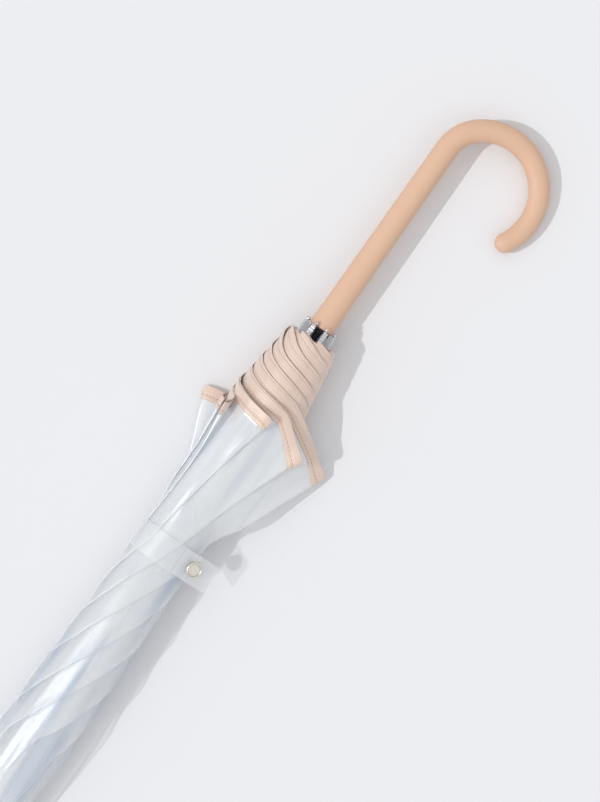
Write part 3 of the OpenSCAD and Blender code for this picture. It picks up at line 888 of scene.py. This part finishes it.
@dataclass
class Canopy:
    """Eight film gores, each folded into one wound pleat, with a bound hem."""

    furl: Furl
    finishes: Finishes
    # Flat size of a gore in its UVs
    uv_width: ClassVar[float] = 0.4
    uv_length: ClassVar[float] = 0.6
    # Angle between a rib and the shaft when open, in degrees
    open_angle: float = 62.0
    # Room between the two layers of a pleat, more at its fold, and the fold's share of a gore
    film_gap: float = 0.35
    fold_lift: float = 0.9
    fold_share: float = 0.010
    # Share of a gore that overlaps the next one
    past_rib: float = 0.012
    # Length from the cap's inside to the film's start, which clears the crown's collar when open
    crown_gap: float = 6.6
    rows: int = 98
    # Rows of the film's last part, which the tape covers
    hem_rows: int = 18
    hem_part: float = 0.04
    columns: int = 120
    # How far the film ends before the tape's free edge
    film_inset: float = 4.0
    hem_w: float = 10.0
    tape_t: float = 0.45
    hem_columns: int = 320
    # How much closer the columns of film and tape lie at ribs and folds
    film_crowd: float = 0.5
    tape_crowd: float = 0.72
    # Length of a gore's tape in its UVs, in metres
    tape_uv: float = 0.41
    # Loop of the hem at the fold: its height, where it starts, its distance before the edge, and its run
    loop: float = 2.4
    loop_from: float = 0.94
    loop_back: float = 46.0
    loop_run: float = 40.0
    # Flare of the hem: its height, the shares of the way to the fold where it grows, and its run
    flare: float = 0.7
    flare_from: float = 0.45
    flare_over: float = 0.5
    flare_run: float = 20.0
    # Pleats whose hem stands further off near the fold: heights, and shares and run as for the flare
    end_lift: dict[int, float] = field(default_factory=lambda: {2: 4.6, 3: 4.6})
    lift_from: float = 0.72
    lift_over: float = 0.25
    lift_run: float = 11.0
    # Unevenness of the hem: height, degrees from rib to fold, and degrees from pleat to pleat
    wobbles: tuple[tuple[float, float, float], ...] = ((0.9, 190.0, 77.0), (0.5, 430.0, 131.0))

    @property
    def gore_angle(self) -> float:
        """Angle between two ribs of the open frame, in radians."""
        a = math.radians(self.open_angle)
        return math.acos(math.cos(a) ** 2 + math.sin(a) ** 2 * math.cos(math.radians(PITCH)))

    def across(self, count: int, crowd: float) -> np.ndarray:
        """Returns shares across a gore, closer together at its ribs and its fold.

        Args:
            count: Number of steps.
            crowd: How much closer they are there, from 0 to 1.

        Returns:
            The shares, a little past 1 so that the next gore is overlapped.
        """
        c = np.linspace(0.0, 1.0, count + 1)
        return (c - crowd * np.sin(4.0 * np.pi * c) / (4.0 * np.pi)) * (1.0 + self.past_rib)

    def down(self) -> np.ndarray:
        """Gives shares of the way from the crown to the hem, closer together under the tape.

        Returns:
            The shares.
        """
        first = self.crown_gap / (self.furl.hem_x - self.furl.top_x)
        start = 1.0 - self.hem_part
        film = np.linspace(first, start, self.rows - self.hem_rows + 1)
        return np.concatenate([film, np.linspace(start, 1.0, self.hem_rows + 1)[1:]])

    def place(self, k: int, c: np.ndarray, below: np.ndarray) -> np.ndarray:
        """Places points of gore k.

        Args:
            k: Number of the gore.
            c: Share of the way across from rib k to the next rib.
            below: Share of the way from the crown to the hem, or if negative, a distance from the hem's edge.

        Returns:
            The points.
        """
        furl = self.furl
        q = np.clip(1.0 - np.abs(1.0 - 2.0 * c), 0.0, 1.0)
        edge = furl.hem_edge(k, q) + self.unevenness(k, q, c)
        x = np.where(below < 0.0, edge + below, furl.top_x + below * (edge - furl.top_x))
        turn = furl.fold_turn(k, x)
        wound, stand = furl.wound(q, turn, x)
        lead = PITCH * (1.0 - q) * (1.0 - wound / turn) + PITCH * np.maximum(c - 1.0, 0.0) * 2.0
        f = np.where(c > 0.5, wound + lead, wound)
        outer = 1.0 - smooth((c - 0.5 + self.fold_share) / (2.0 * self.fold_share))
        at_fold = smooth((q - self.loop_from) / (1.0 - self.loop_from))
        at_hem = smooth((x - edge + self.loop_back) / self.loop_run)
        separate = self.film_gap + at_fold * (self.fold_lift + self.loop * at_hem)
        flare = self.flare * smooth((q - self.flare_from) / self.flare_over)
        flare = flare * smooth((x - edge + self.flare_run) / self.flare_run)
        lift = self.end_lift.get(k, 0.0) * smooth((q - self.lift_from) / self.lift_over)
        lift = lift * smooth((x - edge + self.lift_run) / self.lift_run)
        return furl.point(k, f, stand, x, outer * separate + flare + lift)

    def unevenness(self, k: int, q: np.ndarray, c: np.ndarray) -> np.ndarray:
        """Returns small shifts of the hem along the shaft, different for each pleat and layer."""
        wave = sum(height * sind(turn * q + shift * k) for height, turn, shift in self.wobbles)
        return wave * q + np.where(c > 0.5, 1.0, 0.0) * smooth((1.0 - q) / 0.2)

    def carry(self, piece: bpy.types.Object) -> None:
        """Bakes the piece's placement into its mesh.

        Args:
            piece: The piece.
        """
        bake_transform(piece)

    def gore(self, k: int) -> bpy.types.Object:
        """Builds the film of gore k.

        Args:
            k: Number of the gore.

        Returns:
            The new piece.
        """
        inset = 1.0 - self.film_inset / self.furl.rib_len
        grid_c, grid_v = np.meshgrid(self.across(self.columns, self.film_crowd), self.down() * inset)
        points = self.place(k, grid_c, grid_v)
        uvs = np.stack([grid_c * self.uv_width, grid_v * self.uv_length], axis=-1).reshape(-1, 2)
        faces = grid_faces(self.rows + 1, self.columns + 1)
        piece = make_mesh(f"gore_{k}", points.reshape(-1, 3), faces, self.finishes.film, uvs)
        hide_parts(f"canopy_panel_{k}")
        self.carry(piece)
        return piece

    def tape_section(self) -> list[tuple[float, float]]:
        """Gives the tape's section.

        Returns:
            Distances from its free edge, and heights off the film.
        """
        w = self.hem_w
        t = self.tape_t / 2.0
        half = [(0.0, 0.0), (0.25, 0.75 * t), (0.8, t), (0.55 * w, 1.15 * t), (0.70 * w - 0.5, t),
                (0.70 * w, 0.35 * t), (0.70 * w + 0.5, t), (w - 0.5, t), (w, 0.0)]
        return half + [(d, -h) for d, h in half[-2:0:-1]]

    def hem(self, k: int) -> bpy.types.Object:
        """Builds the binding tape of gore k.

        Args:
            k: Number of the gore.

        Returns:
            The new piece.
        """
        c = self.across(self.hem_columns, self.tape_crowd)
        # Steps across and down that give the film's slope, and the least distance from the hem's edge
        step = 1.0e-3
        reach = 0.5
        least = 1.0e-6
        rings = []
        uvs = []
        run = c * self.tape_uv
        for back, height in self.tape_section():
            below = np.full_like(c, -back - least)
            ring = self.place(k, c, below)
            along = self.place(k, np.minimum(c + step, 1.0 + self.past_rib), below)
            along = along - self.place(k, np.maximum(c - step, 0.0), below)
            down = self.place(k, c, below - reach) - self.place(k, c, np.minimum(below + reach, -least))
            normal = np.cross(down, along)
            normal = normal / np.maximum(np.linalg.norm(normal, axis=-1, keepdims=True), 1.0e-9)
            rings.append(ring + normal * height)
            uvs.append(np.stack([run, np.full_like(c, back * MM)], axis=-1))
        sides = len(rings)
        points = np.stack(rings, axis=1).reshape(-1, 3)
        uv = np.stack(uvs, axis=1).reshape(-1, 2)
        piece = make_mesh(f"hem_tape_{k}", points, tube_faces(len(c), sides), self.finishes.tape, uv)
        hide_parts(f"hem_{k}")
        self.carry(piece)
        return piece

    def build(self) -> None:
        for k in range(1, RIB_COUNT + 1):
            gore = self.gore(k)
            hem = self.hem(k)
            LOG.info("gore %d and its hem", k)


@dataclass
class Strap:
    """Clear strap round the bundle, with its free end and snap."""

    furl: Furl
    finishes: Finishes
    # Free end: direction of its face, length, room under it, sag, and number of sections
    tab_azimuth: float = 120.0
    tab_len: float = 31.0
    tab_room: float = 0.3
    tab_sag: float = 0.35
    tab_steps: int = 34
    # Snap: distance from the free end's root, and width
    snap_at: float = 13.4
    snap_d: float = 12.0
    # Band: sections round the bundle, the body that it rides on, and what is left of its depth when open
    band_steps: int = 144
    carrier: str = "rib_3"
    open_depth: float = 0.03

    @property
    def band_in(self) -> float:
        """Lift of the band's inside off the bundle."""
        return self.furl.film_t + self.furl.gap

    @property
    def tab_r(self) -> float:
        """Distance of the free end's underside from the axis."""
        return self.furl.radii[2] + self.band_in + self.furl.strap_t + self.tab_room

    def profile(self) -> list[tuple[float, float]]:
        """Gives the strap's rounded cross section.

        Returns:
            Shares of its width, and of its thickness.
        """
        edge = 0.012
        half = [(0.0, 0.5), (edge, 0.0), (2.0 * edge, 0.0), (0.5, 0.0), (1.0 - 2.0 * edge, 0.0),
                (1.0 - edge, 0.0)]
        return half + [(1.0 - share, 1.0 - depth) for share, depth in half]

    def band(self) -> bpy.types.Object:
        """Builds the strap round the bundle.

        Returns:
            The new piece.
        """
        furl = self.furl
        azimuths = np.linspace(0.0, 360.0, self.band_steps + 1)[:-1]
        sides = []
        for share, depth in self.profile():
            x = np.full_like(azimuths, furl.strap_x + furl.strap_w * (share - 0.5))
            r = furl.bundle(np.full_like(x, furl.strap_x), azimuths) + self.band_in + furl.strap_t * depth
            sides.append(np.stack([x, r * cosd(azimuths), r * sind(azimuths)], axis=-1))
        points = np.stack(sides, axis=1).reshape(-1, 3)
        count = len(sides)
        total = len(azimuths)
        faces = []
        for i in range(total):
            for j in range(count):
                a = i * count + j
                b = i * count + (j + 1) % count
                step = ((i + 1) % total - i) * count
                faces.append((a, b, b + step, a + step))
        piece = make_mesh("strap_band_film", points, faces, self.finishes.strap)
        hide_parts("strap_band")
        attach(piece, self.carrier)
        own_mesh(piece)
        return piece

    def tab(self) -> bpy.types.Object:
        """Builds the strap's free end.

        Returns:
            The new piece.
        """
        furl = self.furl
        out = radial(self.tab_azimuth)
        along = tangent(self.tab_azimuth)
        root = np.array([furl.strap_x, 0.0, 0.0]) + out * self.tab_r
        rings = []
        steps = np.linspace(0.0, self.tab_len, self.tab_steps)
        for s in steps:
            dip = self.tab_sag * math.sin(math.pi * s / self.tab_len)
            for share, depth in self.profile():
                place = root + along * s + out * (furl.strap_t * depth - dip)
                rings.append(place + np.array([furl.strap_w * (share - 0.5), 0.0, 0.0]))
        faces = tube_faces(len(steps), len(self.profile()))
        piece = make_mesh("strap_free_end", np.array(rings), faces, self.finishes.strap)
        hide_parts("strap_tab")
        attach(piece, "strap_end")
        return piece

    def cap(self) -> bpy.types.Object:
        """Builds the snap's cap, a rolled rim round a bare disc.

        Returns:
            The new piece.
        """
        out = radial(self.tab_azimuth)
        foot = np.array([self.furl.strap_x, 0.0, 0.0]) + out * (self.tab_r + self.furl.strap_t)
        foot = foot + tangent(self.tab_azimuth) * self.snap_at
        r = self.snap_d / 2.0
        profile = [(-0.05, 0.01), (0.0, r - 0.7), (0.25, r - 0.2), (0.8, r), (1.5, r), (2.1, r - 0.1),
                   (2.5, r - 0.35), (2.6, r - 0.65), (2.5, r - 0.95), (2.0, r - 1.15), (1.5, r - 1.2),
                   (1.5, r - 1.5), (1.9, r - 1.55), (2.1, r - 1.75), (2.2, r - 2.2), (2.3, r - 3.4),
                   (2.34, 0.01)]
        piece = lathe("snap_button", profile, foot, out, self.finishes.snap)
        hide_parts("snap_cap")
        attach(piece, "strap_end")
        return piece

    def build(self) -> None:
        band = self.band()
        tab = self.tab()
        self.cap()
        LOG.info("strap, free end and snap")


@dataclass
class CrookGrip:
    """Crook handle, swept along its straight, its entry bend and its hook."""

    finishes: Finishes
    # Length of the straight, and radius and heading at the end of the entry bend and of the hook
    straight: float = 158.6
    bend_r: float = 30.0
    bend_turn: float = 48.0
    hook_r: float = 42.1
    hook_turn: float = 211.0
    # Thickness at the foot, where the hook starts and at its tip, and the rounding of the foot's rim
    foot_d: float = 18.9
    hook_d: float = 17.0
    tip_d: float = 14.8
    foot_round: float = 1.0
    sides: int = 56

    def sections(self) -> list[tuple[float, float, float, float]]:
        """Gives sections from the foot to the tip.

        Returns:
            Place, reach, heading and radius of each section.
        """
        start = FOOT_X + self.straight
        rim = self.foot_round
        reach = self.bend_r + (self.hook_r - self.bend_r) * cosd(self.bend_turn)
        centre = start - (self.hook_r - self.bend_r) * sind(self.bend_turn)
        rings = []
        for ease in np.linspace(0.0, 90.0, 6):
            rings.append((FOOT_X + rim * (1.0 - cosd(ease)), 0.0, 0.0,
                          self.foot_d / 2.0 - rim * (1.0 - sind(ease))))
        for t in np.linspace(0.05, 1.0, 20):
            rings.append((FOOT_X + rim + t * (self.straight - rim), 0.0, 0.0,
                          (self.foot_d + (self.hook_d - self.foot_d) * t) / 2.0))
        for a in np.linspace(self.bend_turn / 16, self.bend_turn, 16):
            rings.append((start + self.bend_r * sind(a), self.bend_r * (1.0 - cosd(a)), a, self.hook_d / 2.0))
        turns = np.linspace(self.bend_turn, self.hook_turn, 55)[1:]
        for a in turns:
            t = (a - self.bend_turn) / (self.hook_turn - self.bend_turn)
            rings.append((centre + self.hook_r * sind(a), reach - self.hook_r * cosd(a), a,
                          (self.hook_d + (self.tip_d - self.hook_d) * t) / 2.0))
        tip_x, tip_y = rings[-1][0], rings[-1][1]
        for e in np.linspace(9.0, 88.0, 10):
            far = self.tip_d / 2.0 * sind(e)
            rings.append((tip_x + far * cosd(self.hook_turn), tip_y + far * sind(self.hook_turn),
                          self.hook_turn, self.tip_d / 2.0 * cosd(e)))
        return rings

    def tilt(self) -> float:
        """Gives the tilt of the hook's plane that lets the hook touch the floor.

        Returns:
            The tilt in degrees.
        """
        reach = self.bend_r + (self.hook_r - self.bend_r) * cosd(self.bend_turn)
        share = (180.0 - self.bend_turn) / (self.hook_turn - self.bend_turn)
        radius = (self.hook_d + (self.tip_d - self.hook_d) * share) / 2.0
        return math.degrees(math.asin((AXIS_H - radius) / (reach + self.hook_r)))

    def build(self) -> None:
        """Builds the grip in place of its solid."""
        azimuth = 180.0 + self.tilt()
        out = radial(azimuth)
        side = tangent(azimuth)
        along = np.array([1.0, 0.0, 0.0])
        points = []
        sections = self.sections()
        for x, reach, heading, radius in sections:
            centre = along * x + out * reach
            normal = out * cosd(heading) - along * sind(heading)
            for j in range(self.sides):
                a = 360.0 * j / self.sides
                points.append(centre + (normal * cosd(a) + side * sind(a)) * radius)
        faces = tube_faces(len(sections), self.sides)
        piece = make_mesh("crook_grip", np.array(points), faces, self.finishes.grip)
        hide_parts("handle_grip")
        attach(piece, "stick")
        LOG.info("crook grip")


@dataclass
class Framework:
    """Metal and plastic parts that keep their solids and get their finish here."""

    finishes: Finishes
    nodes: dict[str, bpy.types.Object]
    # Radius of the rounded edges of the metal and of the outer plastic, in metres
    edge: float = 0.00018
    soft_edge: float = 0.00054
    # Edges sharper than this are rounded, in degrees
    sharp: float = 40.0

    def dress(self, names: list[str], material: bpy.types.Material, edge: float) -> None:
        """Gives solids a finish and slightly rounded edges.

        Args:
            names: Node names.
            material: The finish.
            edge: Radius of the rounded edges, in metres.
        """
        for name in names:
            obj = self.nodes[name]
            obj.data.materials.clear()
            obj.data.materials.append(material)
            bevel = obj.modifiers.new("eased_edges", "BEVEL")
            bevel.width = edge
            bevel.segments = 2
            bevel.limit_method = "ANGLE"
            bevel.angle_limit = math.radians(self.sharp)
            LOG.info("dressed %s", name)

    def build(self) -> None:
        """Dresses every solid that stays in view."""
        steel = ["crown_ring", "crown_pin", "runner_ring", "runner_stop", "closing_spring", "opening_spring"]
        coated = ["shaft_tube"]
        for k in range(1, RIB_COUNT + 1):
            steel.append(f"rib_tip_{k}")
            coated += [f"rib_{k}", f"stretcher_{k}"]
        self.dress(steel, self.finishes.steel, self.edge)
        self.dress(coated, self.finishes.coat, self.edge)
        self.dress(["runner", "crown_notch"], self.finishes.black, self.edge)
        self.dress(["ferrule", "top_cap"], self.finishes.white, self.soft_edge)
        self.dress(["snap_socket", "snap_stud"], self.finishes.snap, self.edge)


@dataclass
class Studio:
    """Floor, light and camera, set from the photograph's view straight down."""

    frame_w: int = 600
    frame_h: int = 802
    mm_per_pixel: float = 0.72
    # Pixel of the grip's foot, which lies on the shaft axis, and the axis's direction in the picture
    foot_pixel: tuple[float, float] = (320.5, 329.0)
    axis_pixel: tuple[float, float] = (0.5744, -0.8186)
    floor_half: float = 6000.0
    camera_height: float = 2000.0
    sensor: float = 36.0
    # Height of the sun, and how far its light turns upward from straight to the right in the picture
    sun_elevation: float = 51.5
    sun_turn: float = 6.0
    sun_width: float = 1.0
    sun_strength: float = 1.12
    # Softbox on the side that the shadows point away from: its place, its size and its brightness
    box_place: tuple[float, float, float] = (-0.22, 0.90, 0.86)
    box_size: tuple[float, float] = (1.1, 0.6)
    box_radiance: float = 7.0
    floor_colour: Colour = (0.815, 0.82, 0.84)
    # Sky's colour, its strength above, at the horizon, and where it is seen or reflected
    sky_colour: Colour = (0.985, 0.99, 1.0)
    zenith: float = 0.96
    horizon: float = 0.40
    pale: float = 0.88

    def axes(self) -> tuple[np.ndarray, np.ndarray]:
        """Gives the picture's directions.

        Returns:
            The directions that point right and up in it.
        """
        right = np.array([self.axis_pixel[0], self.axis_pixel[1], 0.0])
        up = np.array([-self.axis_pixel[1], self.axis_pixel[0], 0.0])
        return right, up

    def camera(self) -> None:
        """Sets the camera above the picture's centre."""
        right, up = self.axes()
        dx = (self.frame_w / 2.0 - self.foot_pixel[0]) * self.mm_per_pixel
        dy = (self.foot_pixel[1] - self.frame_h / 2.0) * self.mm_per_pixel
        centre = np.array([FOOT_X, 0.0, self.camera_height]) + right * dx + up * dy
        data = bpy.data.cameras.new("camera")
        data.sensor_fit = "VERTICAL"
        data.sensor_height = self.sensor
        data.lens = self.sensor * self.camera_height / (self.frame_h * self.mm_per_pixel)
        data.clip_end = 50.0
        obj = bpy.data.objects.new("camera", data)
        turn = Matrix((right, up, (0.0, 0.0, 1.0))).transposed().to_4x4()
        obj.matrix_world = Matrix.Translation(Vector(centre * MM)) @ turn
        bpy.context.collection.objects.link(obj)
        bpy.context.scene.camera = obj

    def sun(self) -> None:
        """Adds the key light, which throws shadows to the picture's right."""
        right, up = self.axes()
        level = right * cosd(self.sun_turn) + up * sind(self.sun_turn)
        travel = level * cosd(self.sun_elevation) - np.array([0.0, 0.0, sind(self.sun_elevation)])
        data = bpy.data.lights.new("key", "SUN")
        data.energy = self.sun_strength
        data.angle = math.radians(self.sun_width)
        obj = bpy.data.objects.new("key", data)
        obj.rotation_euler = Vector(travel).to_track_quat("-Z", "Y").to_euler()
        obj.visible_glossy = False
        bpy.context.collection.objects.link(obj)

    def softbox(self) -> None:
        """Adds a wide lamp that lays a soft shine along the film."""
        data = bpy.data.lights.new("softbox", "AREA")
        data.shape = "RECTANGLE"
        data.size = self.box_size[0]
        data.size_y = self.box_size[1]
        data.energy = self.box_radiance * math.pi * self.box_size[0] * self.box_size[1]
        obj = bpy.data.objects.new("softbox", data)
        aim = Vector((self.box_place[0], 0.0, 0.0)) - Vector(self.box_place)
        obj.rotation_euler = aim.to_track_quat("-Z", "Y").to_euler()
        obj.location = self.box_place
        obj.visible_diffuse = False
        bpy.context.collection.objects.link(obj)

    def world(self) -> None:
        """Sets a soft sky: bright above, darker near the horizon, pale in view and in reflections."""
        world = bpy.data.worlds.new("studio")
        world.use_nodes = True
        tree = world.node_tree
        background = tree.nodes["Background"]
        place = tree.nodes.new("ShaderNodeTexCoord")
        parts = tree.nodes.new("ShaderNodeSeparateXYZ")
        level = tree.nodes.new("ShaderNodeMapRange")
        level.inputs["To Min"].default_value = self.horizon
        level.inputs["To Max"].default_value = self.zenith
        tree.links.new(place.outputs["Generated"], parts.inputs["Vector"])
        tree.links.new(parts.outputs["Z"], level.inputs["Value"])
        path = tree.nodes.new("ShaderNodeLightPath")
        pale = tree.nodes.new("ShaderNodeMix")
        pale.inputs["B"].default_value = self.pale
        seen = path.outputs["Is Camera Ray"]
        for kind in ("Is Glossy Ray", "Is Transmission Ray"):
            either = tree.nodes.new("ShaderNodeMath")
            either.operation = "MAXIMUM"
            tree.links.new(seen, either.inputs[0])
            tree.links.new(path.outputs[kind], either.inputs[1])
            seen = either.outputs["Value"]
        tree.links.new(seen, pale.inputs["Factor"])
        tree.links.new(level.outputs["Result"], pale.inputs["A"])
        background.inputs["Color"].default_value = (*self.sky_colour, 1.0)
        tree.links.new(pale.outputs["Result"], background.inputs["Strength"])
        bpy.context.scene.world = world

    def floor(self) -> None:
        """Lays the floor under the umbrella."""
        half = self.floor_half
        corners = np.array([[-half, -half, -AXIS_H], [half, -half, -AXIS_H],
                            [half, half, -AXIS_H], [-half, half, -AXIS_H]])
        n = Nodes("pale_floor")
        n.set(Base_Color=(*self.floor_colour, 1.0), Roughness=0.9, Specular_IOR_Level=0.1)
        obj = make_mesh("floor", corners, [(0, 1, 2, 3)], n.material)

    def build(self) -> None:
        """Sets up the whole studio."""
        bpy.context.scene.view_settings.view_transform = "Standard"
        self.camera()
        self.sun()
        self.softbox()
        self.world()
        self.floor()


def main() -> None:
    """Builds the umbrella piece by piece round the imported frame."""
    logging.basicConfig(level=logging.INFO, format="%(name)s: %(message)s")
    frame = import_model()
    cycles = bpy.context.scene.cycles
    cycles.max_bounces = 24
    cycles.diffuse_bounces = 12
    cycles.glossy_bounces = 6
    cycles.transparent_max_bounces = 256
    Studio().build()
    finishes = Finishes()
    furl = Furl()
    Framework(finishes, frame["nodes"]).build()
    CrookGrip(finishes).build()
    Canopy(furl, finishes).build()
    Strap(furl, finishes).build()


if __name__ == "__main__":
    main()
